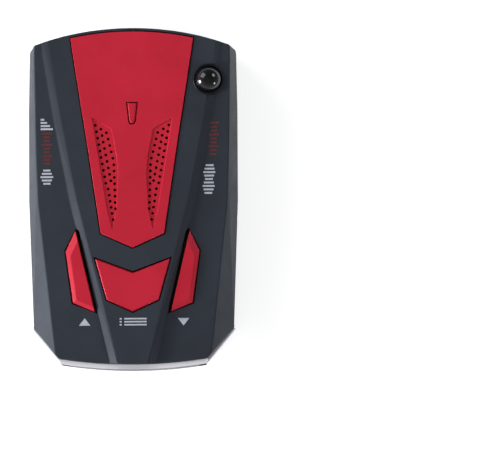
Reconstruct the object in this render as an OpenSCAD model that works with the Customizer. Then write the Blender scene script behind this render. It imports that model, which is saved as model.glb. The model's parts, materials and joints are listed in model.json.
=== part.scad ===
// Dashboard radar detector: a two-part case with a grille panel, three push
// buttons, a dome laser lens, a framed display at the front end, and its
// antenna, circuit board, speaker and display inside.
// +Z is up, +Y points at the antenna end, and the display faces -Y.

/* [Case] */
// Width of the case at its widest, mid-height
case_w = 70; // [69:0.5:72]
// Rear edge of the case from the centre
rear_y = 57; // [56.5:0.5:58]
// Height of the raised centre surface
plateau_z = 27; // [26.5:0.5:28]
// Height of the joint between the two covers
part_z = 12; // [11.8:0.1:12.2]
// Thickness of the case walls
wall = 1.8; // [1.6:0.1:2]
// How far the side surfaces lie below the centre at the rear end
side_step = 0.6; // [0.4:0.1:0.8]
// How far they lie below it at the front end
side_drop = 2.2; // [1.8:0.1:2.3]

/* [Grille panel] */
// Height of the panel above the centre surface
panel_proud = 0.3; // [0.1:0.1:0.6]
// Radius of each speaker hole
hole_r = 0.48; // [0.4:0.02:0.52]

/* [Buttons] */
// Travel of each button
button_travel = 0.5; // [0.3:0.1:0.5]
// Gap round each button
button_gap = 0.45; // [0.3:0.05:0.5]
// Height of the up and down buttons above the side surfaces
side_button_rise = 1; // [0.3:0.1:1.2]
// Height of the menu button above the centre surface
menu_button_rise = 0.2; // [0:0.1:0.4]

/* [Dome lens] */
// Radius of the dome
dome_r = 4.45; // [4.2:0.05:4.5]
// Height of the dome top
dome_top_z = 30.5; // [30:0.1:31]

/* [Power inlet] */
// Radius of the inlet's bore
jack_bore_r = 1.9; // [1.8:0.05:2]
// Radius of the inlet's centre pin
jack_pin_r = 0.65; // [0.6:0.05:0.7]

/* [Speaker] */
// Radius of the speaker frame
speaker_r = 14; // [13:0.5:14]

/* [Hidden] */

$fn = 48;
arc_n = 14;                 // segments in half of a long arc
rear_r = 96;                // radius of the rear edge
front_r = 155;              // radius of the covers' front edge
bezel_r = 155;              // radius of the bezel's front face
half_w = case_w / 2;
front_y = 55.2;             // covers' front edge, to the -Y side
front_half_w = 24.8;        // half width of the covers' front edge
bezel_half_w = 24.1;        // half width of the bezel's front face
corner_y = -42.8;           // where the sides turn in towards the front
corner_x = half_w - 1.5;
ceiling_z = 23.2;           // underside of the top cover
cut_h = 10;                 // reach of a cut that comes out in the open
floor_z = wall;
lip_h = 1.2;                // tongue on the bottom cover
board_z = 12.2;             // underside of the main board
board_t = 1.6;
board_top = board_z + board_t;
panel_floor_z = plateau_z - 2;
insert_depth = 1.2;         // depth of the insert's pocket in the panel
panel_top_z = plateau_z + panel_proud;
side_slope = (side_drop - side_step) / (rear_y + front_y);
past_rear = rear_y + 5;     // clear of the case, for cuts and outlines
past_front = -60;
ridge_w = 2.5;              // width of the sloping band beside the raised centre
boss_r = 2.8;
case_bosses = [[28.8, 46.6], [-28.8, 46.6], [25.5, -43.6], [-25.5, -43.6]];
board_posts = [[28.6, 20], [-28.6, 20], [27, -18], [-27, -18]];
dome_at = [25.4, 39.4];
speaker_at = [0, 8];
jack_y = -6;
jack_z = 8.8;
jack_back_x = 25;           // bottom of the inlet's bore
side_switch = [18.3, -25.5];
menu_switch = [0, -29.5];
dome_base_z = 27;           // where the dome's ball starts above its neck
dome_cavity_r = 3.5;
dome_board_z = 21.4;
dome_board_t = 1;
dome_sensor_z = dome_board_z + dome_board_t;
ring_z = 24.2;
lead_x = 1.3;               // dome sensor's leads, either side of its middle
switch_h = 3.5;
plunger_r = 1.7;
stem_end_z = 19.2;          // where a button's stem meets its plunger
bezel_z = 3.5;
bezel_h = 20.3;
flange_z = 22.1;
flange_t = 0.8;
flange_out = 1.1;           // how far the flange reaches past a button's cap
stem_r = 1.5;
cloth_t = 0.35;
header_z = 15.6;            // height of the header's level pins
header_pitch = 2.54;
probe_y = 15;
gasket_z = 22.2;
plug_h = 2.4;
eps = 0.01;

// Height of the side surfaces at a place along the case
function side_z(y) = plateau_z - side_step - side_slope * (rear_y - y);
// Half outlines run from the rear centre down the +X side to the front centre.
function arc_x(hw, i) = hw * i / arc_n;
function rear_half(hw, apex) =
    [for (i = [0:arc_n]) let(x = arc_x(hw, i)) [x, apex - rear_r + sqrt(rear_r * rear_r - x * x)]];
function front_half(hw, apex, r) =
    [for (i = [arc_n:-1:0]) let(x = arc_x(hw, i)) [x, r - apex - sqrt(r * r - x * x)]];
function both(half) =
    concat(half, [for (i = [len(half) - 2:-1:1]) [-half[i].x, half[i].y]]);
// Widest outline of the case, drawn in by d
function waist(d) = both(concat(
    rear_half(half_w - 1.2 - d, rear_y - d),
    [[half_w - 0.6 - d, 50.4 - d], [half_w - 0.35 - d, 49.3 - d], [half_w - d, 30],
     [half_w - d, 0], [corner_x - d, corner_y + 0.4 * d]],
    front_half(front_half_w - 0.45 * d, front_y - d, front_r)));
// Outline of the top surface, drawn in by d
function crease(d) = both(concat(
    rear_half(half_w - 3 - d, rear_y - 0.4 - d),
    [[half_w - 2.5 - d, 50 - d], [half_w - 3.1 - d, 17], [half_w - 3.7 - d, 3]],
    front_half(front_half_w - 0.8 * d, front_y - d, front_r)));
// Edge of the raised centre surface, widened by d
function plateau(d) = both([[0, past_rear], [29.4 + d, past_rear], [27.4 + d, 49],
    [24.1 + d, 28.6], [18.6 + d, 0], [4.2 + d, -58], [0, -58]]);
function panel_half(d) = concat(
    rear_half(20.4 - d, rear_y - 1.6 - d),
    [[19.8 - d, 49], [15 - d, 18.5], [12.1 - d, -1], [10.5 - d, -11.8 + 0.7 * d], [0, -16.5 + 1.2 * d]]);
menu_shape = [[12.4, -20.2], [8.6, -33.8], [0, -37.8], [-8.6, -33.8], [-12.4, -20.2], [0, -24.8]];
side_button = [[19, -10.8], [22.2, -17.6], [19.8, -34.7], [12.7, -37.7]];
side_opening = [[18.75, -9.9], [22.7, -17.4], [20.3, -35.1], [11.6, -38.4], [17.7, -10.9]];
leaf_shape = [[13.3, 26.6], [6.9, 22.9], [5.2, 14], [4.7, 8], [5.4, -4], [6.7, -10.3], [8.4, -4], [11, 12]];
insert_shape = [[2, 31.9], [1.3, 25.4], [0.75, 24.4], [-0.75, 24.4], [-1.3, 25.4], [-2, 31.9]];
// Speaker holes of one side, as columns of [first point, last point, count]
hole_columns = [[[12.2, 24.2], [8.8, 4.9], 10], [[8, 3], [6.4, -7.2], 6], [[10.4, 22.9], [7.1, 5.7], 9],
    [[8.5, 21.7], [6.4, 13.2], 5], [[6.1, 11], [5.6, -3.6], 8]];

module slab(z, points) {
    translate([0, 0, z - eps]) linear_extrude(eps) polygon(points);
}

// Places its child on both sides of the centre plane
module pair() {
    children();
    mirror([1, 0, 0]) children();
}

// The whole case as one solid, before it is hollowed
module case_outer() {
    hull() {
        slab(eps, waist(2.2));
        slab(3.5, waist(0.3));
        slab(part_z, waist(0));
        slab(plateau_z, crease(0));
    }
}

module case_inner() {
    hull() {
        slab(floor_z, waist(wall + 2));
        slab(4.6, waist(wall + 0.4));
        slab(part_z, waist(wall));
        slab(ceiling_z, crease(wall + 0.6));
    }
}

// Everything above the side surfaces, except the raised centre
module side_cut() {
    difference() {
        translate([-half_w - 5, 0, 0]) rotate([90, 0, 90])
            linear_extrude(case_w + 10)
                polygon([[past_rear, side_z(past_rear)], [past_front, side_z(past_front)],
                    [past_front, plateau_z + 5], [past_rear, plateau_z + 5]]);
        hull() {
            slab(plateau_z, plateau(0));
            intersection() {
                linear_extrude(plateau_z) polygon(plateau(ridge_w));
                under_side(0);
            }
        }
        translate([0, 0, plateau_z - 2 * eps]) linear_extrude(cut_h) polygon(plateau(0));
    }
}

// Half space below a height that follows the side surfaces
module under_side(rise) {
    translate([-half_w, 0, 0]) rotate([90, 0, 90]) linear_extrude(case_w)
        polygon([[past_rear, 0], [past_front, 0], [past_front, side_z(past_front) + rise],
            [past_rear, side_z(past_rear) + rise]]);
}

// Opening through the covers' front wall for the display block
module display_opening() {
    translate([-20.3, -60, 6.2]) cube([40.6, 12, 13.6]);
}

// Room for the window in the bezel
module window_room(margin) {
    translate([-21.6 - margin, -60, 5.6 - margin]) cube([43.2 + 2 * margin, 12, 15.8 + 2 * margin]);
}

module rear_opening(margin) {
    translate([-12 - margin, 45, 13.8 - margin]) cube([24 + 2 * margin, 15, 6 + 2 * margin]);
}

module bottom_cover() {
    color("#2b2f36") union() {
        difference() {
            intersection() {
                case_outer();
                translate([-50, -60, 0]) cube([100, 120, part_z]);
            }
            difference() {
                case_inner();
                for (p = case_bosses) translate([p.x, p.y, 0]) cylinder(r = boss_r, h = part_z);
                for (p = board_posts) translate([p.x, p.y, 0]) cylinder(r = 2.2, h = part_z);
            }
            for (p = case_bosses) translate([p.x, p.y, -1]) {
                cylinder(r = 1.4, h = part_z + 2);
                cylinder(r = 2.5, h = 3.6);
            }
            for (p = board_posts) translate([p.x, p.y, 6]) cylinder(r = 0.95, h = cut_h);
            display_opening();
            translate([half_w - 4, jack_y, jack_z]) rotate([0, 90, 0]) cylinder(r = 3.3, h = 8);
            translate([-19, -12, -1]) cube([38, 24, 1.3]);
        }
        difference() {
            translate([0, 0, part_z]) linear_extrude(lip_h) difference() {
                polygon(waist(wall - 0.8));
                polygon(waist(wall));
            }
            display_opening();
        }
        for (p = board_posts) translate([p.x, p.y, part_z]) difference() {
            cylinder(r = 2.2, h = board_z - part_z);
            translate([0, 0, -1]) cylinder(r = 0.95, h = 3);
        }
    }
}

module top_cover() {
    color("#32373f") difference() {
        intersection() {
            case_outer();
            translate([-50, -60, part_z]) cube([100, 120, 30]);
        }
        difference() {
            case_inner();
            for (p = case_bosses) translate([p.x, p.y, 0]) cylinder(r = boss_r, h = 40);
        }
        translate([0, 0, part_z - 1]) linear_extrude(lip_h + 1.1) polygon(waist(wall - 0.9));
        side_cut();
        translate([0, 0, panel_floor_z]) linear_extrude(cut_h) polygon(both(panel_half(-0.4)));
        translate([0, 0, ceiling_z - 1]) linear_extrude(cut_h) pair() polygon(leaf_shape);
        translate([0, 0, ceiling_z - 1]) linear_extrude(cut_h) offset(delta = button_gap) polygon(menu_shape);
        translate([0, 0, ceiling_z - 1]) linear_extrude(cut_h) pair() polygon(side_opening);
        translate([dome_at.x, dome_at.y, ceiling_z - 1]) cylinder(r = dome_r + 0.15, h = cut_h);
        translate([dome_at.x, dome_at.y, ring_z]) cylinder(r = dome_r + 0.75, h = cut_h);
        for (p = case_bosses) translate([p.x, p.y, 0]) cylinder(r = 1.2, h = 19);
        display_opening();
        rear_opening(0.1);
    }
    // Bosses run down to the joint face beside the tongue's rebate
    color("#32373f") for (p = case_bosses) translate([p.x, p.y, part_z]) difference() {
        cylinder(r = boss_r, h = lip_h + 0.2);
        translate([0, 0, -1]) cylinder(r = 1.2, h = 5);
    }
}

module case_screws() {
    color("#8d9096") for (p = case_bosses) translate([p.x, p.y, 0]) difference() {
        union() {
            translate([0, 0, 1]) cylinder(r = 2.3, h = 1.6);
            translate([0, 0, 2.6]) cylinder(r = 1.15, h = 15);
        }
        for (a = [0, 90]) rotate([0, 0, a]) translate([-1.4, -0.3, 0.5]) cube([2.8, 0.6, 1.2]);
    }
}

module rating_label() {
    color("#c9ccd0") translate([-18.7, -11.7, 0.08]) cube([37.4, 23.4, 0.22]);
}

module grille_panel() {
    color("#b82a36") difference() {
        translate([0, 0, panel_floor_z]) linear_extrude(panel_top_z - panel_floor_z)
            polygon(both(panel_half(0)));
        // recessed leaf fields round the holes
        translate([0, 0, panel_top_z - 0.35]) linear_extrude(1) pair() polygon(leaf_shape);
        // room for the cloth behind them
        translate([0, 0, panel_floor_z - 1]) linear_extrude(cloth_t + 1.05) pair()
            offset(delta = 0.65) polygon(leaf_shape);
        pair() for (c = hole_columns, i = [0:c[2] - 1])
            translate(concat(c[0] + (c[1] - c[0]) * i / (c[2] - 1), panel_floor_z - 1))
                cylinder(r = hole_r, h = 5, $fn = 24);
        translate([0, 0, panel_top_z - insert_depth]) linear_extrude(2) polygon(insert_shape);
    }
}

module grille_cloth() {
    color("#15171a") translate([0, 0, panel_floor_z]) linear_extrude(cloth_t) pair()
        offset(delta = 0.55) polygon(leaf_shape);
}

module panel_insert() {
    color("#a82430") translate([0, 0, panel_top_z - insert_depth]) {
        linear_extrude(0.4) offset(delta = -0.03) polygon(insert_shape);
        linear_extrude(1.25) offset(delta = -0.42) polygon(insert_shape);
    }
}

module side_button_solid() {
    intersection() {
        translate([0, 0, flange_z]) linear_extrude(8) polygon(side_button);
        under_side(side_button_rise);
    }
    translate([0, 0, flange_z]) linear_extrude(flange_t) offset(delta = flange_out) polygon(side_button);
    translate([side_switch.x, side_switch.y, stem_end_z])
        cylinder(r = stem_r, h = flange_z - stem_end_z + eps);
}

module up_button() {
    color("#b82a36") mirror([1, 0, 0]) side_button_solid();
}

module down_button() {
    color("#b82a36") side_button_solid();
}

module menu_button() {
    color("#b82a36") {
        translate([0, 0, flange_z]) linear_extrude(plateau_z + menu_button_rise - flange_z)
            polygon(menu_shape);
        translate([0, 0, flange_z]) linear_extrude(flange_t) offset(delta = flange_out) polygon(menu_shape);
        translate([menu_switch.x, menu_switch.y, stem_end_z])
            cylinder(r = stem_r, h = flange_z - stem_end_z + eps);
    }
}

// One switch plunger, from inside the switch body up to the button's stem
module plunger(at) {
    foot_z = board_top + switch_h - 0.8;
    color("#d8d8d0") translate([at.x, at.y, foot_z]) cylinder(r = plunger_r, h = stem_end_z - foot_z);
}

module up_plunger() {
    plunger([-side_switch.x, side_switch.y]);
}

module menu_plunger() {
    plunger(menu_switch);
}

module down_plunger() {
    plunger(side_switch);
}

module switch_bodies() {
    color("#1d1f22") for (p = [[-side_switch.x, side_switch.y], menu_switch, side_switch])
        translate([p.x, p.y, board_top]) difference() {
            translate([-3, -3, 0]) cube([6, 6, switch_h]);
            translate([0, 0, switch_h - button_travel - 1.1]) cylinder(r = plunger_r + 0.2, h = 5);
        }
}

module dome_lens() {
    cap_h = dome_top_z - dome_base_z;
    ball_r = (dome_r * dome_r + cap_h * cap_h) / (2 * cap_h);
    cavity_z = dome_sensor_z + 3.6;
    color("#15171b") translate([dome_at.x, dome_at.y, 0]) difference() {
        union() {
            translate([0, 0, dome_sensor_z]) cylinder(r = dome_r, h = dome_base_z - dome_sensor_z);
            intersection() {
                translate([0, 0, dome_top_z - ball_r]) sphere(r = ball_r, $fn = 96);
                translate([0, 0, dome_base_z - eps]) cylinder(r = dome_r, h = 8);
            }
        }
        translate([0, 0, dome_board_z]) cylinder(r = dome_cavity_r, h = cavity_z - dome_board_z);
        translate([0, 0, cavity_z - eps]) intersection() {
            sphere(r = dome_cavity_r);
            cylinder(r = dome_cavity_r + 1, h = 4);
        }
    }
}

module dome_ring() {
    color("#1b1d21") translate([dome_at.x, dome_at.y, ring_z]) difference() {
        cylinder(r = dome_r + 0.7, h = 3.1);
        translate([0, 0, -1]) cylinder(r = dome_r + 0.05, h = 6);
    }
}

module dome_sensor() {
    color("#30343c") translate([dome_at.x, dome_at.y, dome_sensor_z]) {
        cylinder(r = 2.5, h = 2.6);
        translate([0, 0, 2.6 - eps]) cylinder(r = 1.6, h = 1.2);
    }
}

module dome_sensor_board() {
    color("#24613f") translate([dome_at.x, dome_at.y, dome_board_z]) difference() {
        cylinder(r = 4, h = dome_board_t);
        for (s = [-lead_x, lead_x]) translate([s, 0, -1]) cylinder(r = 0.35, h = 3);
    }
}

module dome_sensor_leads() {
    color("#c8c9cc") for (s = [-lead_x, lead_x]) translate([dome_at.x + s, dome_at.y, board_top])
        cylinder(r = 0.3, h = dome_sensor_z - board_top);
}

// Plan of the bezel from a rear edge out to its front face, drawn in by d
function bezel_plan(rear_points, d) = both(concat(rear_points, front_half(bezel_half_w, rear_y - d, bezel_r)));

// Frame round the display, with a wing along each cut corner
module front_bezel() {
    corner_points = [[0, -50], [corner_x, corner_y], [corner_x + 0.5, corner_y - 0.4]];
    color("#c8c6d2") difference() {
        union() {
            translate([0, 0, bezel_z]) linear_extrude(part_z - bezel_z) polygon(bezel_plan(corner_points, 0));
            translate([0, 0, bezel_z]) linear_extrude(bezel_h)
                polygon(bezel_plan([[0, -52], [front_half_w, -53.2]], 0));
        }
        translate([0, 0, 3]) linear_extrude(22) polygon(waist(0));
        window_room(0.05);
    }
}

module display_window() {
    color("#17080a") difference() {
        intersection() {
            window_room(-0.05);
            linear_extrude(30) polygon(bezel_plan([[0, -50], [bezel_half_w, -50]], 0.2));
        }
        translate([0, 0, 3]) linear_extrude(22) polygon(waist(-0.15));
    }
}

module led_display() {
    color("#26282c") difference() {
        translate([-18.5, -52.6, 7.4]) cube([37, 6.6, 11.2]);
        for (i = [0:3]) translate([-16.4 + 8.6 * i, -53, 9]) cube([7, 0.9, 8]);
    }
}

module display_board() {
    color("#24613f") difference() {
        translate([-20.5, -46, 5]) cube([41, 1.2, 16]);
        for (i = [-4:4]) translate([header_pitch * i, -47, header_z]) rotate([-90, 0, 0])
            cylinder(r = 0.4, h = 4);
    }
}

module display_header() {
    color("#d0b060") for (i = [-4:4]) translate([header_pitch * i, 0, header_z]) {
        translate([0, -46, 0]) rotate([-90, 0, 0]) cylinder(r = 0.32, h = 3.9);
        translate([0, -42.1, board_top - header_z]) cylinder(r = 0.32, h = header_z - board_top + 0.32);
    }
}

module rear_window() {
    color("#2a0d10") intersection() {
        rear_opening(0);
        linear_extrude(40) difference() {
            polygon(both(concat(rear_half(20, rear_y - 0.9), [[20, 30], [0, 30]])));
            polygon(both(concat(rear_half(20, rear_y - 2.4), [[20, 30], [0, 30]])));
        }
    }
}

module laser_sensor() {
    color("#30343c") {
        translate([-4, 48.4, board_top]) cube([8, 3, 5.6]);
        translate([0, 51.4 - eps, board_top + 3]) rotate([-90, 0, 0]) cylinder(r = 2, h = 1.4);
    }
}

module main_board() {
    color("#24613f") difference() {
        translate([0, 0, board_z]) linear_extrude(board_t) intersection() {
            polygon(waist(wall + 1.3));
            translate([-50, -43.6]) square([100, 120]);
        }
        for (p = case_bosses) translate([p.x, p.y, 5]) cylinder(r = 3.3, h = 20);
        for (p = board_posts) translate([p.x, p.y, 5]) cylinder(r = 1.1, h = 20);
        // the header pins' row
        translate([-18, -44, 5]) cube([36, 0.6, 20]);
    }
}

module board_screws() {
    color("#8d9096") for (p = board_posts) translate([p.x, p.y, 0]) difference() {
        union() {
            translate([0, 0, board_top]) cylinder(r = 1.9, h = 1.4);
            translate([0, 0, 7]) cylinder(r = 0.9, h = board_top - 7 + eps);
        }
        for (a = [0, 90]) rotate([0, 0, a]) translate([-1.1, -0.25, board_top + 0.6]) cube([2.2, 0.5, 2]);
    }
}

// Horn with its mouth at the rear and a feed cavity behind it
module horn_antenna() {
    throat_y = 24;
    color("#a9abad") difference() {
        translate([0, 0, 2.6]) linear_extrude(board_z - 2.6)
            polygon([[-18, 51], [18, 51], [18, 49], [8, throat_y], [8, 8], [-8, 8], [-8, throat_y], [-18, 49]]);
        translate([0, 0, 3.8]) linear_extrude(7.2)
            polygon([[-16.8, 52], [16.8, 52], [16.8, 49.2], [5.4, throat_y], [-5.4, throat_y], [-16.8, 49.2]]);
        translate([-5.4, 9.6, 5]) cube([10.8, 15, 5]);
        translate([0, probe_y, 8]) cylinder(r = 1.2, h = 8);
    }
}

module antenna_probe() {
    color("#d0b060") translate([0, probe_y, 7]) cylinder(r = 0.6, h = board_z - 7);
}

module rf_shield() {
    color("#b9bcc0") translate([-13, 26, board_top]) difference() {
        cube([26, 19, 3.4]);
        translate([0.4, 0.4, -1]) cube([25.2, 18.2, 4]);
    }
}

module speaker_frame() {
    color("#4a4d52") translate([speaker_at.x, speaker_at.y, 0]) rotate_extrude($fn = 64)
        polygon([[4, 17.4], [10, 17.4], [speaker_r, 20.4], [speaker_r, gasket_z], [speaker_r - 1.3, gasket_z],
            [speaker_r - 1.3, 21], [9.6, 18.2], [4, 18.2]]);
}

module speaker_cone() {
    color("#191a1c") translate([speaker_at.x, speaker_at.y, 0]) rotate_extrude($fn = 64)
        polygon([[0, 20.6], [2.4, 20.2], [4.2, 19.2], [4.6, 19.2], [11, 21.3], [speaker_r - 1.4, 21.5],
            [speaker_r - 1.4, 21.9], [10.9, 21.7], [4.5, 19.6], [2.5, 20.6], [0, 21]]);
}

module speaker_magnet() {
    color("#84868a") translate([speaker_at.x, speaker_at.y, 14.6]) cylinder(r = 7, h = 2.8);
}

module speaker_gasket() {
    color("#111214") translate([speaker_at.x, speaker_at.y, gasket_z]) difference() {
        cylinder(r = speaker_r, h = ceiling_z - gasket_z);
        translate([0, 0, -1]) cylinder(r = speaker_r - 1.3, h = 4);
    }
}

// Two wires from the speaker's edge across and down to their plug
module speaker_wires() {
    wire_r = 0.45;
    wire_z = 21.3;
    color("#7c1d1d") for (y = [5, 6.6]) {
        translate([-19, y, wire_z]) rotate([0, 90, 0]) cylinder(r = wire_r, h = 19 - speaker_r);
        translate([-19, y, wire_z]) sphere(r = wire_r);
        translate([-19, y, board_top + plug_h]) cylinder(r = wire_r, h = wire_z - board_top - plug_h);
    }
}

module speaker_plug() {
    color("#e6e2d6") translate([-21, 3, board_top]) cube([4, 6, plug_h]);
}

module power_jack() {
    color("#141518") difference() {
        union() {
            translate([22.2, jack_y - 4.5, 5.4]) cube([10, 9, board_z - 5.4]);
            translate([32, jack_y, jack_z]) rotate([0, 90, 0]) cylinder(r = 3.1, h = half_w - 0.5 - 32);
        }
        translate([jack_back_x, jack_y, jack_z]) rotate([0, 90, 0]) cylinder(r = jack_bore_r, h = 12);
    }
}

module jack_pin() {
    color("#c9cacd") translate([jack_back_x, jack_y, jack_z]) rotate([0, 90, 0])
        cylinder(r = jack_pin_r, h = 8.4);
}

module chip(at, size) {
    color("#1a1b1d") translate([at.x - size.x / 2, at.y - size.y / 2, board_top + 0.1]) cube(size);
    color("#c8c9cc") for (s = [-1, 1], i = [-2:2])
        translate([at.x + s * (size.x / 2 + 0.5) - 0.5, at.y + i * size.y / 6 - 0.2, board_top])
            cube([1, 0.4, 0.5]);
}

module controller_chip() {
    chip([-16, -8], [9, 9, 1.4]);
}

module voice_chip() {
    chip([-8, -14], [5, 6, 1.4]);
}

module amplifier_chip() {
    chip([9, -12], [4, 5, 1.4]);
}

module capacitors() {
    color("#2b3350") for (p = [[21, 1], [21, 8], [21.5, -14]])
        translate([p.x, p.y, board_top]) cylinder(r = 2.5, h = 5.4);
}

module clock_crystal() {
    color("#c0c2c6") translate([-27, -4, board_top]) linear_extrude(3.4)
        offset(r = 1.9, $fn = 12) square([0.2, 7], center = true);
}

module power_inductor() {
    color("#3a3b3e") translate([24, 28, board_top]) cylinder(r = 3.4, h = 3.6);
}

bottom_cover();
top_cover();
case_screws();
rating_label();
grille_panel();
grille_cloth();
panel_insert();
up_button();
menu_button();
down_button();
up_plunger();
menu_plunger();
down_plunger();
switch_bodies();
dome_lens();
dome_ring();
dome_sensor();
dome_sensor_board();
dome_sensor_leads();
front_bezel();
display_window();
led_display();
display_board();
display_header();
rear_window();
laser_sensor();
main_board();
board_screws();
horn_antenna();
antenna_probe();
rf_shield();
speaker_frame();
speaker_cone();
speaker_magnet();
speaker_gasket();
speaker_wires();
speaker_plug();
power_jack();
jack_pin();
controller_chip();
voice_chip();
amplifier_chip();
capacitors();
clock_crystal();
power_inductor();
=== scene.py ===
# %% [markdown]
# # A dashboard radar detector
# The real object is a black two-part case with a red lacquered grille panel,
# three red buttons, a black dome lens and a silver frame round its display.
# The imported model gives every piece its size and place, so this script only
# models what the eye sees closely, and gives each piece its finish.

# %% Load the frame
import json
import math

import bmesh
import bpy
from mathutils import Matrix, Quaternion, Vector


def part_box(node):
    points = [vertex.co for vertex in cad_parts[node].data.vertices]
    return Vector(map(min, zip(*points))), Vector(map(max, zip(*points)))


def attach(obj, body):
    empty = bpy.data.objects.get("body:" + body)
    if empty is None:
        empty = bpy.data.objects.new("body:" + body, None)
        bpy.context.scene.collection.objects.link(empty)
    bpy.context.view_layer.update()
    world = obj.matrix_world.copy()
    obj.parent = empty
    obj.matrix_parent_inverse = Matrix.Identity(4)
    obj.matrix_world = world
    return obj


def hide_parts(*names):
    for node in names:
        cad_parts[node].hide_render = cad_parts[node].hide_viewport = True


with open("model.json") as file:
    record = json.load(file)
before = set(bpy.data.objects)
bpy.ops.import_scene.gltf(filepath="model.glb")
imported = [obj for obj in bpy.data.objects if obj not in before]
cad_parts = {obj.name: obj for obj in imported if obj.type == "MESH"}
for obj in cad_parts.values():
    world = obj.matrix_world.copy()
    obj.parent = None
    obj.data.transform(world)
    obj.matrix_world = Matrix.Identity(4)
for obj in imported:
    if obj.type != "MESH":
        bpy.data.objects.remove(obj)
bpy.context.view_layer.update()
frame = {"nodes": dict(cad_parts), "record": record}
nodes = frame["nodes"]
MM = 0.001

# %% [markdown]
# ## Stage
# A small product is shown on one seamless pale surface. A large plane does the
# work of a paper sweep, because the camera looks almost straight down. It lies a
# hair below the case, so that the two never share one height.

# %% Floor
FLOOR_SIZE = 3                    # metres
FLOOR_GAP = 0.03 * MM
PAPER_GLOW = 0.65                 # lifts the paper to a clean white

scene = bpy.context.scene
scene.view_settings.view_transform = "Standard"
bpy.ops.mesh.primitive_plane_add(size=FLOOR_SIZE, location=(0, 0, -FLOOR_GAP))
floor = bpy.context.object
floor.name = "floor"
paper = bpy.data.materials.new("paper")
paper.use_nodes = True
paper_shader = paper.node_tree.nodes["Principled BSDF"]
paper_shader.inputs["Base Color"].default_value = (0.9, 0.9, 0.9, 1)
paper_shader.inputs["Roughness"].default_value = 0.9
paper_shader.inputs["Specular IOR Level"].default_value = 0.1
paper_shader.inputs["Emission Color"].default_value = (1, 1, 1, 1)
paper_shader.inputs["Emission Strength"].default_value = PAPER_GLOW
floor.data.materials.append(paper)
floor.visible_diffuse = False     # the tent's own gradient lights the flanks instead

# %% [markdown]
# ## Light
# The world is a light tent: pale walls, a darker roof, and more light from its
# near left corner than from its far right one. A low lamp on the left makes the
# left flank paler than the right one and brings out the ridges. A weaker one on
# the right and two dim softboxes behind fill the shadows. All four lamps show as
# small reflections in the dome.

# %% Lights
WALL_LIGHT, ROOF_LIGHT = 0.5, 0.165     # strengths of the tent's walls and roof
ROOF_STARTS = 0.8                       # a direction this high sees only roof
FAR_SHARE, NEAR_SHARE = 0.4, 1.75       # the same light's share, far right and near left
NEAR_LEFT = (-0.6, -0.8, 0)
TENT_COLOUR = (0.96, 0.98, 1, 1)
CASE_MIDDLE = Vector((0, 0, 15 * MM))

world = bpy.data.worlds.new("studio")
scene.world = world
world.use_nodes = True
sky = world.node_tree.nodes
join = world.node_tree.links.new
facing = sky.new("ShaderNodeTexCoord")
split = sky.new("ShaderNodeSeparateXYZ")
fade = sky.new("ShaderNodeMapRange")
fade.inputs["From Max"].default_value = ROOF_STARTS
fade.inputs["To Min"].default_value = WALL_LIGHT
fade.inputs["To Max"].default_value = ROOF_LIGHT
sideways = sky.new("ShaderNodeVectorMath")
sideways.operation = "DOT_PRODUCT"
sideways.inputs[1].default_value = NEAR_LEFT
slant = sky.new("ShaderNodeMapRange")
slant.inputs["From Min"].default_value = -1.0
slant.inputs["To Min"].default_value = FAR_SHARE
slant.inputs["To Max"].default_value = NEAR_SHARE
both = sky.new("ShaderNodeMath")
both.operation = "MULTIPLY"
sky["Background"].inputs["Color"].default_value = TENT_COLOUR
join(facing.outputs["Generated"], split.inputs["Vector"])
join(facing.outputs["Generated"], sideways.inputs[0])
join(split.outputs["Z"], fade.inputs["Value"])
join(sideways.outputs["Value"], slant.inputs["Value"])
join(fade.outputs[0], both.inputs[0])
join(slant.outputs[0], both.inputs[1])
join(both.outputs[0], sky["Background"].inputs["Strength"])


def softbox(name, place, size, power):
    """A square lamp that faces the case: its place and side in metres, its power in watts."""
    bpy.ops.object.light_add(type="AREA", location=place)
    lamp = bpy.context.object
    lamp.name = name
    lamp.data.size = size
    lamp.data.energy = power
    aim = CASE_MIDDLE - Vector(place)
    lamp.rotation_mode = "QUATERNION"
    lamp.rotation_quaternion = aim.to_track_quat("-Z", "Y")


softbox("key_left", (-0.95, -0.24, 0.21), 0.3, 13)
softbox("spark_right", (0.8, -0.5, 0.42), 0.2, 1.6)
softbox("rear_left", (-0.65, 0.5, 0.57), 0.6, 3)
softbox("rear_right", (0.65, 0.5, 0.57), 0.35, 1.4)

# %% [markdown]
# ## Camera
# The case is seen from above with its display end towards the viewer. A very
# long lens, far away, keeps its sides nearly parallel. The case stands to the
# left of the frame's middle, so its right flank turns slightly to the camera.

# %% Camera
VIEW_WIDTH = 166.667 * MM         # at the case's height
CAMERA_DISTANCE = 1400 * MM
CAMERA_TILT = math.radians(3)     # lean from straight down, towards the display end
CAMERA_ROLL = math.radians(0.3)
SENSOR = 36
NEAR_CLIP = 0.02
aim_point = Vector((39, -9.7, 20)) * MM
back = Vector((0, -math.sin(CAMERA_TILT), math.cos(CAMERA_TILT)))
bpy.ops.object.camera_add(location=aim_point + back * CAMERA_DISTANCE)
camera = bpy.context.object
camera.rotation_mode = "QUATERNION"
roll = Quaternion((0, 0, 1), -CAMERA_ROLL)
camera.rotation_quaternion = (-back).to_track_quat("-Z", "Y") @ roll
camera.data.sensor_width = SENSOR
camera.data.lens = SENSOR * CAMERA_DISTANCE / VIEW_WIDTH
camera.data.clip_start = NEAR_CLIP
scene.camera = camera
print("lens in mm:", round(camera.data.lens, 1))

# %% [markdown]
# ## Working by hand in edit mode
# Every operator acts on what is selected, so each step starts from nothing
# selected and picks its faces or edges by their place. A few helpers keep that
# habit short.


# %% Selecting and editing
WELD = 0.002 * MM                 # corners closer than this are one corner
FLAT = math.radians(0.4)          # faces that turn less than this are one face
CUT_MARGIN = 0.0005 * MM
FLATNESS_WEIGHT = 80


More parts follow.
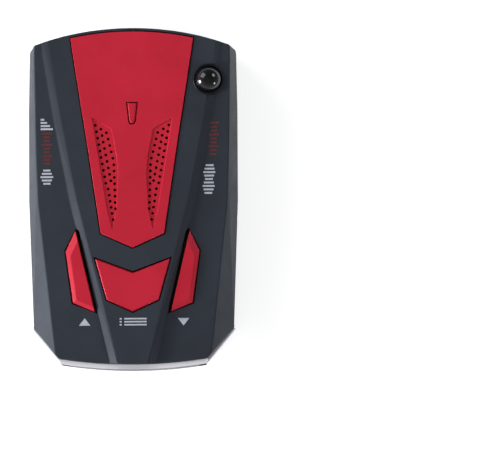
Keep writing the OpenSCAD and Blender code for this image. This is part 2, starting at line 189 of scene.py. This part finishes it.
def only(piece):
    """Selects one piece alone and makes it the active one."""
    bpy.ops.object.select_all(action="DESELECT")
    piece.select_set(True)
    bpy.context.view_layer.objects.active = piece


def open_mesh(piece, mode="EDGE"):
    """Opens a piece in edit mode with nothing selected."""
    only(piece)
    bpy.ops.object.mode_set(mode="EDIT")
    bpy.ops.mesh.select_mode(type=mode)
    bpy.ops.mesh.select_all(action="DESELECT")
    return bmesh.from_edit_mesh(piece.data)


def close_mesh():
    """Leaves edit mode."""
    bpy.ops.object.mode_set(mode="OBJECT")


def settle(piece):
    """Puts a piece's place into its mesh, so that its object is at the origin."""
    only(piece)
    bpy.ops.object.transform_apply(location=True, rotation=True, scale=True)


def apply_modifier(piece, kind, **settings):
    """Adds a modifier with its settings and applies it at once."""
    only(piece)
    bpy.ops.object.modifier_add(type=kind)
    modifier = piece.modifiers[-1]
    for name, value in settings.items():
        setattr(modifier, name, value)
    bpy.ops.object.modifier_apply(modifier=modifier.name)


def merged_copy(node, name):
    """A copy of a CAD node whose loose triangles are joined into flat faces."""
    piece = bpy.data.objects.new(name, nodes[node].data.copy())
    scene.collection.objects.link(piece)
    piece.data.materials.clear()
    open_mesh(piece)
    bpy.ops.mesh.select_all(action="SELECT")
    bpy.ops.mesh.remove_doubles(threshold=WELD)
    bpy.ops.mesh.dissolve_limited(angle_limit=FLAT)
    close_mesh()
    return piece


def soften(piece, width, test=None, segments=3, angle=25):
    """Rounds each edge that turns more than the angle and passes the test."""
    mesh = open_mesh(piece)
    count = 0
    for edge in mesh.edges:
        if len(edge.link_faces) != 2 or edge.calc_face_angle() < math.radians(angle):
            continue
        if test is None or test((edge.verts[0].co + edge.verts[1].co) / 2, edge):
            edge.select_set(True)
            count += 1
    bmesh.update_edit_mesh(piece.data)
    if count:
        bpy.ops.mesh.bevel(offset=width, segments=segments, profile=0.5, affect="EDGES")
    close_mesh()
    return count


def smooth(piece, angle=35):
    """Smooth shading that keeps sharp edges and lets the large faces stay flat."""
    only(piece)
    bpy.ops.object.shade_smooth_by_angle(angle=math.radians(angle))
    apply_modifier(piece, "WEIGHTED_NORMAL", keep_sharp=True, weight=FLATNESS_WEIGHT)


def slice_off(piece, point, outward):
    """Cuts away the side that the outward direction points to."""
    open_mesh(piece)
    bpy.ops.mesh.select_all(action="SELECT")
    bpy.ops.mesh.bisect(plane_co=point, plane_no=Vector(outward).normalized(),
                        use_fill=True, clear_outer=True, threshold=CUT_MARGIN)
    close_mesh()


def block(name, low, high):
    """A cube primitive stretched to a box, with its place in its mesh."""
    low, high = Vector(low), Vector(high)
    bpy.ops.mesh.primitive_cube_add(size=1, location=(low + high) / 2)
    piece = bpy.context.object
    piece.name = name
    piece.scale = high - low
    settle(piece)
    return piece


def carved_prism(name, outline, bottom, top):
    """A block cut down to a convex outline, one side after another."""
    xs, ys = [p[0] for p in outline], [p[1] for p in outline]
    piece = block(name, (min(xs), min(ys), bottom), (max(xs), max(ys), top))
    middle = Vector((sum(xs) / len(xs), sum(ys) / len(ys), 0))
    for i, start in enumerate(outline):
        along = Vector((*outline[(i + 1) % len(outline)], 0)) - Vector((*start, 0))
        outward = Vector((along.y, -along.x, 0))
        if outward.dot(Vector((*start, 0)) - middle) < 0:
            outward.negate()
        slice_off(piece, (*start, 0), outward)
    return piece


# %% [markdown]
# ## Finishes: what repeats
# Moulded plastic is never a flat colour: the mould leaves a fine spark-eroded
# grain, and handling leaves broad, faint patches of gloss. Both effects are
# shader groups, built once and placed in each material with its own values.


# %% Shader groups
def shader_group(name, inputs, outputs):
    """An empty group with its number sockets, its entry and its result."""
    group = bpy.data.node_groups.new(name, "ShaderNodeTree")
    for label, value in inputs.items():
        socket = group.interface.new_socket(label, in_out="INPUT",
                                            socket_type="NodeSocketFloat")
        socket.default_value = value
    for label in outputs:
        group.interface.new_socket(label, in_out="OUTPUT",
                                   socket_type="NodeSocketFloat")
    entry = group.nodes.new("NodeGroupInput")
    result = group.nodes.new("NodeGroupOutput")
    return group, entry, result


def grain_group():
    """Fine mould grain: rounded pits from a cell pattern broken up by noise."""
    group, entry, result = shader_group("mould_grain", {"Scale": 4000}, ["Height"])
    add, link = group.nodes.new, group.links.new
    place = add("ShaderNodeTexCoord")
    noise = add("ShaderNodeTexNoise")
    noise.inputs["Detail"].default_value = 2
    cells = add("ShaderNodeTexVoronoi")
    blend = add("ShaderNodeMath")
    blend.operation = "MULTIPLY_ADD"
    blend.inputs[1].default_value = 0.5
    for texture in (noise, cells):
        link(place.outputs["Object"], texture.inputs["Vector"])
        link(entry.outputs["Scale"], texture.inputs["Scale"])
    link(cells.outputs["Distance"], blend.inputs[0])
    link(noise.outputs["Fac"], blend.inputs[2])
    link(blend.outputs[0], result.inputs["Height"])
    return group


def patches_group():
    """Broad, soft patches between two values, as handling and moulding leave."""
    values = {"Scale": 60, "Low": 0, "High": 1}
    group, entry, result = shader_group("soft_patches", values, ["Value"])
    add, link = group.nodes.new, group.links.new
    place = add("ShaderNodeTexCoord")
    noise = add("ShaderNodeTexNoise")
    noise.inputs["Detail"].default_value = 4
    noise.inputs["Roughness"].default_value = 0.6
    spread = add("ShaderNodeMapRange")
    spread.inputs["From Min"].default_value = 0.3
    spread.inputs["From Max"].default_value = 0.7
    link(place.outputs["Object"], noise.inputs["Vector"])
    link(entry.outputs["Scale"], noise.inputs["Scale"])
    link(noise.outputs["Fac"], spread.inputs["Value"])
    link(entry.outputs["Low"], spread.inputs["To Min"])
    link(entry.outputs["High"], spread.inputs["To Max"])
    link(spread.outputs[0], result.inputs["Value"])
    return group


MOULD_GRAIN = grain_group()
SOFT_PATCHES = patches_group()
COAT_ROUGHNESS = 0.08
WEAR_SCALE = 2.3                  # gloss patches are smaller than colour patches
PIT_DEPTH = 0.1 * MM


def shade(hex_colour):
    """A screen colour as the linear values that a shader takes."""
    values = [int(hex_colour[i:i + 2], 16) / 255 for i in (1, 3, 5)]
    linear = [v / 12.92 if v <= 0.04045 else ((v + 0.055) / 1.055) ** 2.4 for v in values]
    return (*linear, 1)


def finish(name, dark, light, gloss, patches=60, grain=4000, depth=0.05,
           metal=0.0, coat=0.0, spec=0.5):
    """A finish that varies between two colours and two roughnesses, with a fine grain."""
    material = bpy.data.materials.new(name)
    material.use_nodes = True
    tree = material.node_tree
    add, link = tree.nodes.new, tree.links.new
    shader = tree.nodes["Principled BSDF"]
    shader.inputs["Metallic"].default_value = metal
    shader.inputs["Coat Weight"].default_value = coat
    shader.inputs["Coat Roughness"].default_value = COAT_ROUGHNESS
    shader.inputs["Specular IOR Level"].default_value = spec
    tone = add("ShaderNodeGroup")
    tone.node_tree = SOFT_PATCHES
    tone.inputs["Scale"].default_value = patches
    colours = add("ShaderNodeMix")
    colours.data_type = "RGBA"
    colours.inputs["A"].default_value = shade(dark)
    colours.inputs["B"].default_value = shade(light)
    wear = add("ShaderNodeGroup")
    wear.node_tree = SOFT_PATCHES
    wear.inputs["Scale"].default_value = patches * WEAR_SCALE
    wear.inputs["Low"].default_value = gloss[0]
    wear.inputs["High"].default_value = gloss[1]
    pits = add("ShaderNodeGroup")
    pits.node_tree = MOULD_GRAIN
    pits.inputs["Scale"].default_value = grain
    bump = add("ShaderNodeBump")
    bump.inputs["Strength"].default_value = depth
    bump.inputs["Distance"].default_value = PIT_DEPTH
    link(tone.outputs["Value"], colours.inputs["Factor"])
    link(colours.outputs["Result"], shader.inputs["Base Color"])
    link(wear.outputs["Value"], shader.inputs["Roughness"])
    link(pits.outputs["Height"], bump.inputs["Height"])
    link(bump.outputs["Normal"], shader.inputs["Normal"])
    return material


# %% [markdown]
# ## The finishes of this object
# One material for each of the record's slots. The case is bluish black with a
# matte grain. The panel and buttons are a pearl red lacquer, which is smooth
# and slightly coated. The inner pieces get plain finishes of their own kind.
# The inks and the dome ring's satin black go on visible pieces only.

# %% Materials
FINISHES = {
    "case_black": finish("case_black", "#353941", "#3b4049", (0.5, 0.6),
                         grain=5200, depth=0.06, spec=0.12),
    "panel_red": finish("panel_red", "#c92338", "#d7283f", (0.4, 0.48),
                        grain=7000, depth=0.02, coat=0.05, spec=0.25),
    "bezel_silver": finish("bezel_silver", "#f0eff5", "#f8f7fc", (0.34, 0.42),
                           grain=7000, depth=0.03),
    "smoked_window": finish("smoked_window", "#100406", "#180608", (0.08, 0.13),
                            depth=0.0, spec=0.3),
    "dome_black": finish("dome_black", "#05060b", "#090b13", (0.06, 0.1),
                         depth=0.0, coat=0.3, spec=0.5),
    "cloth_black": finish("cloth_black", "#060607", "#101012", (0.8, 0.95),
                          grain=2500, depth=0.6),
    "label_grey": finish("label_grey", "#b4b8bd", "#c0c4c8", (0.4, 0.5), grain=6000),
    "steel": finish("steel", "#8d9096", "#a9acb2", (0.25, 0.42), metal=1.0, patches=300),
    "tin": finish("tin", "#a9adb2", "#c3c6ca", (0.2, 0.36), metal=1.0, patches=150),
    "board_green": finish("board_green", "#0f4a2a", "#17603a", (0.3, 0.42),
                          patches=400, grain=2500, coat=0.3),
    "zinc_cast": finish("zinc_cast", "#85888b", "#a1a4a7", (0.42, 0.6),
                        metal=1.0, grain=1800, depth=0.3),
    "brass": finish("brass", "#b8913f", "#d0aa55", (0.2, 0.34), metal=1.0, patches=400),
    "chip_black": finish("chip_black", "#121315", "#1a1b1e", (0.45, 0.6),
                         grain=3500, depth=0.2),
    "switch_white": finish("switch_white", "#c9c8bf", "#d8d7cf", (0.4, 0.5)),
    "cone_paper": finish("cone_paper", "#151618", "#202124", (0.7, 0.85),
                         grain=1500, depth=0.5),
    "magnet_grey": finish("magnet_grey", "#3c3d40", "#505257", (0.45, 0.6),
                          metal=0.6, grain=1500, depth=0.3),
    "foam_black": finish("foam_black", "#0c0c0e", "#161618", (0.85, 0.95),
                         grain=1200, depth=0.8),
    "wire_red": finish("wire_red", "#6e1216", "#82181c", (0.35, 0.45)),
    "can_blue": finish("can_blue", "#1b2440", "#26315a", (0.3, 0.4)),
    "display_black": finish("display_black", "#101113", "#17181b", (0.4, 0.5)),
}
INK_WHITE = finish("ink_white", "#b9bfc9", "#ccd1da", (0.5, 0.62),
                   patches=900, grain=5200, depth=0.1)
# plain black for the display frame's front faces round the window
FRONT_BLACK = finish("front_black", "#070709", "#0b0b0e", (0.8, 0.9), patches=300, spec=0.02)
RING_BLACK = finish("ring_black", "#0b0c11", "#101219", (0.42, 0.5),
                    grain=5200, depth=0.03, spec=0.3)
INK_RED = finish("ink_red", "#5a2526", "#6a2d2c", (0.5, 0.62),
                 patches=900, grain=5200, depth=0.1)

slot_of = {row["node"]: row["material_slot"] for row in frame["record"]["subparts"]}
for node, piece in nodes.items():
    piece.data.materials.clear()
    piece.data.materials.append(FINISHES[slot_of[node]])
print("nodes with a finish:", len(nodes))


def dress(piece, node, body, angle=35):
    """Gives a modelled piece its node's finish and body, and hides the node it replaces."""
    piece.data.materials.clear()
    piece.data.materials.append(FINISHES[slot_of[node]])
    smooth(piece, angle)
    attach(piece, body)
    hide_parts(node)


# %% [markdown]
# ## The case
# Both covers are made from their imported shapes, so that every opening stays
# where the inner pieces need it. Real mouldings have no knife edges: the long
# outer creases get a broad round, the sloping bands beside the raised centre a
# smaller one, and the joint between the covers a fine groove.

# %% Top cover
OPENINGS_HALF_WIDTH = 24.4 * MM   # all openings but the dome's are inside it
REAR_FACE, FRONT_FACE = 56 * MM, -52.8 * MM
DOME_SEAT, DOME_MARGIN = Vector((25.4, 39.4)) * MM, 7 * MM
PANEL_PROUD = 0.3 * MM            # the red panel stands this far above the centre
CREASE_ROUND, RIDGE_ROUND, JOINT_GROOVE = 0.45 * MM, 0.3 * MM, 0.16 * MM
RIDGE_MIDDLE, RIDGE_SPREAD = 22.5 * MM, 0.18      # the bands stay inside this line
SHORTEST_RIDGE = 3 * MM

top_shell = merged_copy("top_cover", "top_shell")
part_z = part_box("top_cover")[0].z
panel_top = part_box("grille_panel")[1].z
plateau_z = panel_top - PANEL_PROUD


def outer_crease(middle, edge):
    """Long creases between the top surface and the flanks, not the openings."""
    by_side = abs(middle.x) > OPENINGS_HALF_WIDTH
    near_rim = by_side or middle.y > REAR_FACE or middle.y < FRONT_FACE
    is_high = middle.z > part_z + 0.5 * MM
    on_dome = (middle.xy - DOME_SEAT).length < DOME_MARGIN
    outward = any(face.normal.z < 0.5 and face.normal.xy.dot(middle.xy) > 0
                  for face in edge.link_faces)
    return near_rim and is_high and outward and not on_dome


print("outer creases rounded:", soften(top_shell, CREASE_ROUND, outer_crease, 4, angle=12))


def joint_rim(middle, edge):
    """The outer edges where the two covers meet, which leave a fine groove."""
    outside = any(abs(face.normal.z) < 0.9 and face.normal.xy.dot(middle.xy) > 0
                  for face in edge.link_faces)
    return outside and abs(middle.z - part_z) < 0.02 * MM


print("top joint edges:", soften(top_shell, JOINT_GROOVE, joint_rim, 2))


def ridge_edge(middle, edge):
    """Both edges of the sloping bands between the centre and side surfaces."""
    upward = all(face.normal.z > 0.7 for face in edge.link_faces)
    inside = abs(middle.x) < RIDGE_MIDDLE + RIDGE_SPREAD * middle.y
    return upward and inside and edge.calc_length() > SHORTEST_RIDGE


print("ridge edges:", soften(top_shell, RIDGE_ROUND, ridge_edge, 2, angle=4))
dress(top_shell, "top_cover", "case")

# %% Bottom cover
CORNER_ROUND = 0.5 * MM
LOW_Z, OUTER_X = 5 * MM, 20 * MM  # the lower corners are below and outside these

bottom_shell = merged_copy("bottom_cover", "bottom_shell")


def lower_corner(middle, edge):
    """The lower edges of the outside, away from the middle of the floor."""
    return middle.z < LOW_Z and abs(middle.x) > OUTER_X


print("lower corners rounded:", soften(bottom_shell, CORNER_ROUND, lower_corner, 3, 20))
print("bottom joint edges:", soften(bottom_shell, JOINT_GROOVE, joint_rim, 2))
dress(bottom_shell, "bottom_cover", "case")

# %% [markdown]
# ## The grille panel
# The red panel is one lacquered moulding with two shallow leaf-shaped fields of
# speaker holes. Lacquer gathers on edges, so the rim and the fields' edges are
# rounded and catch the light. The holes are too many to cut by hand, so the
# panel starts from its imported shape.

# %% Grille panel
PANEL_ROUND, FIELD_ROUND = 0.12 * MM, 0.14 * MM
TOP_MARGIN = 0.01 * MM            # an edge this close to the top is on it
SIDE_X, SIDE_FLARE = 9.5 * MM, 0.12      # the panel's sides spread towards the rear
WAIST_Y, PANEL_REAR, PANEL_TIP = -12 * MM, 50 * MM, -11.5 * MM
FIELD_REAR = 27 * MM              # the fields of holes end here, before the insert

panel = merged_copy("grille_panel", "panel_skin")


def panel_rim(middle, edge):
    """The outer top edge, told from the inner ones by its place."""
    high = middle.z > panel_top - TOP_MARGIN
    along_side = abs(middle.x) > SIDE_X + max(0, middle.y - WAIST_Y) * SIDE_FLARE
    return high and (along_side or middle.y > PANEL_REAR or middle.y < PANEL_TIP)


def field_rim(middle, edge):
    """The top edges of the two leaf-shaped fields."""
    high = middle.z > panel_top - TOP_MARGIN
    return high and not panel_rim(middle, edge) and middle.y < FIELD_REAR


print("panel rim edges:", soften(panel, PANEL_ROUND, panel_rim))
print("field rim edges:", soften(panel, FIELD_ROUND, field_rim, 2))
dress(panel, "grille_panel", "case", 40)

# %% [markdown]
# The small tapered insert sits in its own pocket of the panel. It is a cube cut
# down to its tapered outline and rounded over, like a boat's hull.

# %% Panel insert
BACK_HALF, WAIST_HALF, TIP_HALF = 1.55 * MM, 0.95 * MM, 0.5 * MM      # half widths
INSERT_END_GAP, TIP_LENGTH, INSERT_ROUND = 0.4 * MM, 1.1 * MM, 0.5 * MM

insert_low, insert_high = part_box("panel_insert")
tip_y, back_y = insert_low.y + INSERT_END_GAP, insert_high.y - INSERT_END_GAP
waist_y = tip_y + TIP_LENGTH
insert_outline = [(-BACK_HALF, back_y), (BACK_HALF, back_y), (WAIST_HALF, waist_y),
                  (TIP_HALF, tip_y), (-TIP_HALF, tip_y), (-WAIST_HALF, waist_y)]
insert = carved_prism("insert_body", insert_outline, insert_low.z, insert_high.z)
soften(insert, INSERT_ROUND, lambda m, e: m.z > insert_low.z + 0.1 * MM, 4)
dress(insert, "panel_insert", "case", 50)

# %% [markdown]
# ## The buttons
# Each button is a cap on a wide flange that keeps it from falling out, with a
# stem that reaches its switch. The caps are blocks cut down to their outlines.
# A tilted cut along an edge gives the wide bevel that a finger feels.


# %% Button helpers
def join_pieces(pieces, name):
    """Joins pieces into the first one, under a new name."""
    only(pieces[0])
    for piece in pieces:
        piece.select_set(True)
    if len(pieces) > 1:
        bpy.ops.object.join()
    pieces[0].name = name
    return pieces[0]


STEM_RADIUS, STEM_ROUND, STEM_SIDES = 1.5 * MM, 0.2 * MM, 48


def stem(at, bottom, top):
    """The round rod that reaches down to a button's switch."""
    bpy.ops.mesh.primitive_cylinder_add(vertices=STEM_SIDES, radius=STEM_RADIUS,
                                        depth=top - bottom,
                                        location=(*at, (bottom + top) / 2))
    piece = bpy.context.object
    settle(piece)
    soften(piece, STEM_ROUND)
    return piece


def widened(outline, margin):
    """A convex outline pushed outwards from its middle by about a margin."""
    points = [Vector(p) for p in outline]
    middle = sum(points, Vector((0, 0))) / len(points)
    return [tuple(p + (p - middle).normalized() * margin) for p in points]


def bevel_cut(piece, start, end, inside, width, drop, surface):
    """A tilted cut along one edge, from width inside it to drop below the surface."""
    start, end, inside = Vector(start), Vector(end), Vector(inside)
    along = (end - start).normalized()
    inward = Vector((-along.y, along.x))
    if inward.dot(inside - start) < 0:
        inward.negate()
    low_start = Vector((*start, surface(start.y) - drop))
    low_end = Vector((*end, surface(end.y) - drop))
    high_start = Vector((*(start + inward * width), surface(start.y)))
    normal = (low_end - low_start).cross(high_start - low_start)
    if normal.z < 0:
        normal.negate()
    slice_off(piece, low_start, normal)


# %% Up and down buttons
FLANGE, FLANGE_LIP = 0.8 * MM, 1.1 * MM        # thickness, and reach past the cap
SWITCH_REACH = 2.9 * MM                        # from a stem's foot up to its flange
SIDE_STEP, SIDE_DROP = 0.6 * MM, 2.2 * MM      # below the centre surface, rear and front
REAR_END, FALL_LENGTH = 57 * MM, 112.2 * MM    # where the fall starts and how long it is
BUTTON_RISE = 1.0 * MM                         # the caps' height above the side surface
SLOPE_RUN = 40 * MM                            # length over which a cap's slope is taken
CAP_ROUND = 0.14 * MM
SIDE_OUTLINE = ((19, -10.8), (22.2, -17.6), (19.8, -34.7), (12.7, -37.7))    # in mm

down_low, down_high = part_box("down_button")
flange_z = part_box("menu_button")[0].z + SWITCH_REACH
side_outline = [(x * MM, y * MM) for x, y in SIDE_OUTLINE]
apex, outer_upper, outer_lower, inner_lower = side_outline
button_middle = (18.3 * MM, -25.5 * MM)
CAP_BEVELS = (                                 # start, end, width and drop in mm
    (outer_upper, outer_lower, 1.3, 0.6),
    (outer_lower, inner_lower, 1.2, 0.7),
    (apex, outer_upper, 2.2, 0.9),
)


def side_surface(y):
    """Height of the case's falling side surface at a place along the case."""
    fall = (SIDE_DROP - SIDE_STEP) / FALL_LENGTH
    return plateau_z - SIDE_STEP - fall * (REAR_END - y)


def side_button_top(y):
    """Height of a side button's top at a place along the case."""
    return side_surface(y) + BUTTON_RISE


def side_button(name):
    """The button on the right: a cap with three bevelled edges, a flange and a stem."""
    cap = carved_prism(name, side_outline, flange_z, down_high.z)
    start_z, end_z = side_button_top(0), side_button_top(-SLOPE_RUN)
    slice_off(cap, (0, 0, start_z), (0, -(start_z - end_z) / SLOPE_RUN, 1))
    for start, end, width, drop in CAP_BEVELS:
        bevel_cut(cap, start, end, button_middle, width * MM, drop * MM, side_button_top)
    soften(cap, CAP_ROUND, lambda m, e: m.z > flange_z + 1 * MM, 3, 15)
    flange_outline = widened(side_outline, FLANGE_LIP)
    flange = carved_prism("flange", flange_outline, flange_z, flange_z + FLANGE)
    return join_pieces([cap, flange, stem(button_middle, down_low.z, flange_z)], name)


down_cap = side_button("down_cap")
up_cap = side_button("up_cap")
only(up_cap)
up_cap.scale.x = -1
settle(up_cap)
open_mesh(up_cap)
bpy.ops.mesh.select_all(action="SELECT")
bpy.ops.mesh.normals_make_consistent(inside=False)
close_mesh()
dress(down_cap, "down_button", "down_key", 20)
dress(up_cap, "up_button", "up_key", 20)

# %% [markdown]
# The menu button is a chevron, which isn't convex, so one half of it is cut
# from a block and left open on the centre line, and a Mirror modifier closes it.

# %% Menu button
MENU_ROUND = 0.35 * MM
HALF_CAP = ((0, -24.8), (12.4, -20.2), (8.6, -33.8), (0, -37.8))     # in mm
HALF_FLANGE = ((0, -23.7), (13.6, -18.8), (9.5, -34.6), (0, -39))
MENU_STEM = (0, -29.5 * MM)

menu_low, menu_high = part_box("menu_button")


def chevron(name, half, bottom, top, rounding):
    """Half a chevron cut from a block, then mirrored over the centre line."""
    piece = carved_prism(name, [(x * MM, y * MM) for x, y in half], bottom, top)
    mesh = open_mesh(piece, "FACE")
    for face in mesh.faces:
        on_centre = abs(face.calc_center_median().x) < 0.001 * MM
        face.select_set(face.normal.x < -0.99 and on_centre)
    bmesh.update_edit_mesh(piece.data)
    bpy.ops.mesh.delete(type="FACE")
    close_mesh()
    apply_modifier(piece, "MIRROR", use_clip=True, merge_threshold=0.005 * MM)
    if rounding:
        soften(piece, rounding, lambda m, e: m.z > bottom + 1 * MM, 4)
    return piece


menu_cap = join_pieces([
    chevron("menu_cap", HALF_CAP, flange_z, menu_high.z, MENU_ROUND),
    chevron("menu_flange", HALF_FLANGE, flange_z, flange_z + FLANGE, 0),
    stem(MENU_STEM, menu_low.z, flange_z)], "menu_cap")
dress(menu_cap, "menu_button", "menu_key")

# %% [markdown]
# ## The dome
# The lens and its ring are turned shapes: half a section is drawn by extruding
# one point from place to place, and the Spin operator turns it into a solid.


# %% Turning helper
SEED_SIZE = 0.1 * MM              # of the plane that is merged to the first point


def turned(name, centre, profile, steps=96):
    """Spins a closed section of (radius, height) points round a vertical line."""
    points = [Vector((centre[0] + r, centre[1], z)) for r, z in profile]
    bpy.ops.mesh.primitive_plane_add(size=SEED_SIZE, location=points[0])
    piece = bpy.context.object
    piece.name = name
    settle(piece)
    open_mesh(piece, "VERT")
    bpy.ops.mesh.select_all(action="SELECT")
    bpy.ops.mesh.merge(type="CENTER")
    for before, after in zip(points, points[1:] + points[:1]):
        bpy.ops.mesh.extrude_region_move(TRANSFORM_OT_translate={"value": after - before})
    bpy.ops.mesh.select_all(action="SELECT")
    bpy.ops.mesh.spin(steps=steps, angle=math.tau, center=(*centre, 0), axis=(0, 0, 1))
    bpy.ops.mesh.select_all(action="SELECT")
    bpy.ops.mesh.remove_doubles(threshold=0.001 * MM)
    bpy.ops.mesh.normals_make_consistent(inside=False)
    close_mesh()
    return piece


def arc(radius, centre_z, start, end, count):
    """Points of a circle round the axis, by angle from straight up."""
    angles = [math.radians(start + (end - start) * i / count) for i in range(count + 1)]
    return [(radius * math.sin(a), centre_z + radius * math.cos(a)) for a in angles]


# %% Dome lens and ring
DOME_RISE = 3.5 * MM              # height of the round part of the lens
CAVITY_RADIUS, CAVITY_BASE = 3.5 * MM, 26 * MM     # the hollow over the sensor
RING_GAP, RING_ROUND, INNER_CHAMFER = 0.05 * MM, 0.3 * MM, 0.1 * MM

dome_low, dome_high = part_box("dome_lens")
dome_at = ((dome_low.x + dome_high.x) / 2, (dome_low.y + dome_high.y) / 2)
dome_r = (dome_high.x - dome_low.x) / 2
ball_r = (dome_r ** 2 + DOME_RISE ** 2) / (2 * DOME_RISE)
rim_angle = math.degrees(math.asin(dome_r / ball_r))
outside = arc(ball_r, dome_high.z - ball_r, 0, rim_angle, 24)
inside = arc(CAVITY_RADIUS, CAVITY_BASE, 90, 0, 12)
foot = [(dome_r, dome_low.z), (CAVITY_RADIUS, dome_low.z)]
dome = turned("dome_glass", dome_at, outside + foot + inside)
dress(dome, "dome_lens", "case")

ring_low, ring_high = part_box("dome_ring")
ring_r = (ring_high.x - ring_low.x) / 2
bore_r = dome_r + RING_GAP
quarter = [math.pi / 8 * i for i in range(5)]
round_x, round_z = ring_r - RING_ROUND, ring_high.z - RING_ROUND
ring_round = [(round_x + RING_ROUND * math.cos(a), round_z + RING_ROUND * math.sin(a))
              for a in quarter]
ring = turned("dome_collar", dome_at, [
    (bore_r, ring_low.z), (ring_r, ring_low.z), *ring_round,
    (bore_r + INNER_CHAMFER, ring_high.z), (bore_r, ring_high.z - INNER_CHAMFER)])
dress(ring, "dome_ring", "case")
ring.data.materials[0] = RING_BLACK      # satin, so that only the lens sparkles

# %% [markdown]
# ## The display end
# The silver frame and the smoked window follow the case's curved front, so both
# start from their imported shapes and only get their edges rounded.

# %% Bezel and window
FRAME_ROUND, WINDOW_ROUND = 0.15 * MM, 0.2 * MM
FRONT_HALF_WIDTH = 24.2 * MM      # the frame's wings start outside it

bezel = merged_copy("front_bezel", "display_frame")
print("bezel edges:", soften(bezel, FRAME_ROUND, None, 3, 30))
dress(bezel, "front_bezel", "case")
# The frame's front faces round the window get a second, black finish.
bezel.data.materials.append(FRONT_BLACK)
for face in bezel.data.polygons:
    if face.normal.y < -0.5 and abs(face.center.x) < FRONT_HALF_WIDTH:
        face.material_index = 1   # the front faces round the window are made black
window = merged_copy("display_window", "window_lens")
print("window edges:", soften(window, WINDOW_ROUND, None, 3, 40))
dress(window, "display_window", "case")

# %% [markdown]
# ## Small outer pieces
# The inlet, its pin, the screws, the label and the rear window show from other
# sides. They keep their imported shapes, and their sharp rims are worn round.

# %% Worn rims
WORN_ROUNDS = {"power_jack": 0.2, "jack_pin": 0.15, "case_screws": 0.12,
               "rating_label": 0.05, "rear_window": 0.15}      # in mm

for node, width in WORN_ROUNDS.items():
    piece = merged_copy(node, node + "_detail")
    print(node, "rims:", soften(piece, width * MM, None, 2, 40))
    dress(piece, node, "case")

# %% [markdown]
# ## Printed marks
# The real case has printed words. Plain icons stand in for them: a triangle, a
# list and a triangle under the buttons, and signal bars on the side surfaces.
# Ink is a film, so each mark is a block a few hundredths of a millimetre thick
# that follows the slope of the surface under it.

# %% Ink
INK = 0.03 * MM                   # thickness of a film of ink
LEGEND_Y = -41.1                  # the numbers from here on are millimetres
LEGEND_LOW, LEGEND_HIGH, LEGEND_HALF = 1.2, 1.3, 1.9
STRIPE, TICK = 0.62, 0.75         # heights of the white and red bars
LONG_TICK, SHORT_TICK = 3.4, 2.2


def ink_block(outline, surface):
    """A film of ink with a convex outline in millimetres, laid on a surface."""
    points = [(x * MM, y * MM) for x, y in outline]
    film = carved_prism("ink", points, 0, INK)
    mesh = open_mesh(film, "VERT")
    for vert in mesh.verts:
        vert.co.z += surface(vert.co.y)
    bmesh.update_edit_mesh(film.data)
    close_mesh()
    return film


def triangle(x, up):
    """A triangle beside the legends' line that points up (1) or down (-1)."""
    base = LEGEND_Y - LEGEND_LOW * up
    return [(x - LEGEND_HALF, base), (x + LEGEND_HALF, base), (x, LEGEND_Y + LEGEND_HIGH * up)]


def bar(x, y, wide, tall):
    """A bar round its middle."""
    return [(x - wide / 2, y - tall / 2), (x + wide / 2, y - tall / 2),
            (x + wide / 2, y + tall / 2), (x - wide / 2, y + tall / 2)]


def ticks(x, y, lean, pitch):
    """A column of nine red bars, of which every third is long."""
    return [bar(x - lean * i, y - pitch * i, SHORT_TICK if i % 3 else LONG_TICK, TICK)
            for i in range(9)]


def print_marks(name, outlines, ink, surface):
    """Prints a group of marks as one piece that rides on the case."""
    marks = join_pieces([ink_block(o, surface) for o in outlines], name)
    marks.data.materials.append(ink)
    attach(marks, "case")


def centre_surface(y):
    """The raised centre is level, so its height is the same everywhere."""
    return plateau_z


list_icon = [bar(x, LEGEND_Y + dy, wide, 0.5)
             for dy in (-1, 0, 1) for x, wide in ((-4, 0.7), (0.9, 7.4))]
left_signal = [bar(-30.4 + (1.2 + 0.95 * i) / 2, 26.2 - 1.05 * i, 1.2 + 0.95 * i, STRIPE)
               for i in range(4)]
left_wave = [bar(-28.4, 9.3 - 1.1 * i, 4.2 - 0.9 * abs(i - 2), STRIPE) for i in range(5)]
right_wave = [bar(25.7 - 0.06 * i, 10.8 - 1.15 * i, 4.0 - 0.7 * abs(i % 4 - 2), STRIPE)
              for i in range(9)]
print_marks("mark_up", [triangle(-16, 1)], INK_WHITE, side_surface)
print_marks("mark_down", [triangle(16.8, -1)], INK_WHITE, side_surface)
print_marks("mark_menu", list_icon, INK_WHITE, centre_surface)
print_marks("mark_left_white", left_signal + left_wave, INK_WHITE, side_surface)
print_marks("mark_left_red", ticks(-28.3, 21.6, 0, 1.25), INK_RED, side_surface)
print_marks("mark_right_red", ticks(27.3, 24.9, 0.05, 1.3), INK_RED, side_surface)
print_marks("mark_right_white", right_wave, INK_WHITE, side_surface)
print("ink thickness in mm:", INK / MM)
